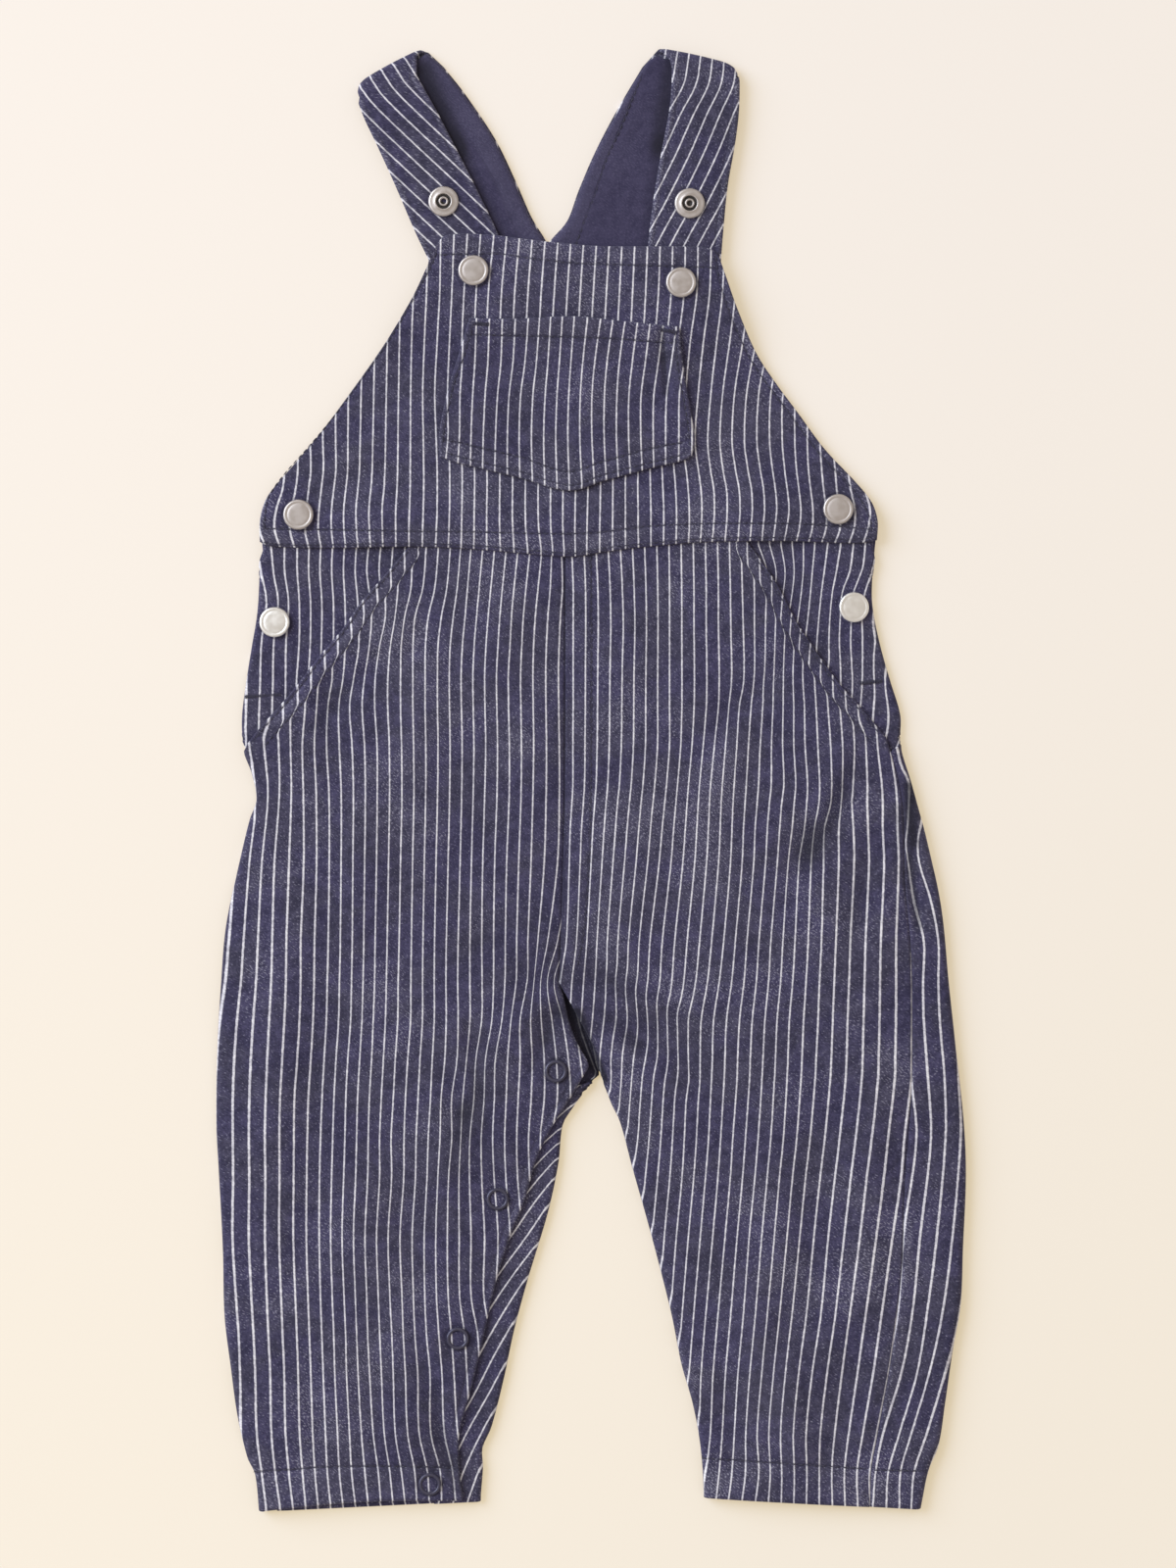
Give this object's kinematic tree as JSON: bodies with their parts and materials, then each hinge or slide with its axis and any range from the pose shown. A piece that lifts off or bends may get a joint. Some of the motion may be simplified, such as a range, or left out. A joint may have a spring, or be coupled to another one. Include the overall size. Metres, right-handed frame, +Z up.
{
  "type": "baby dungarees",
  "caption": "Baby dungarees laid flat: striped bib trousers with a bib pocket, slanted hip pockets, folded straps and snap fastenings.",
  "frame": {"origin": "on the surface that the garment lies on, under the middle of its outline", "axes": "+Z up from the surface, +Y from the hems to the shoulder folds, +X to the right as seen from above"},
  "size_m": [0.275, 0.5364, 0.0078],
  "materials": {
    "striped_cloth": "matt heathered navy cotton twill with fine pale pinstripes",
    "plain_lining": "matt plain indigo cotton lining",
    "snap_metal": "satin nickel",
    "ring_enamel": "satin dark navy enamel"
  },
  "bodies": {
    "root": {"back_left_with_strap": "striped_cloth", "back_right_with_strap": "striped_cloth", "arm_lining_left": "plain_lining", "arm_lining_right": "plain_lining", "trouser_back_left": "striped_cloth", "trouser_back_right": "striped_cloth", "trouser_front_left": "striped_cloth", "trouser_front_right": "striped_cloth", "hip_panel_left": "striped_cloth", "hip_panel_right": "striped_cloth", "bib": "striped_cloth", "bib_pocket": "striped_cloth", "cap_bib_left": "snap_metal", "cap_bib_right": "snap_metal", "cap_side_left": "snap_metal", "cap_side_right": "snap_metal", "cap_hip_left": "snap_metal", "cap_hip_right": "snap_metal", "socket_strap_left": "snap_metal", "socket_strap_right": "snap_metal", "ring_crotch": "ring_enamel", "ring_thigh": "ring_enamel", "ring_knee": "ring_enamel", "ring_hem": "ring_enamel"}
  },
  "joints": []
}
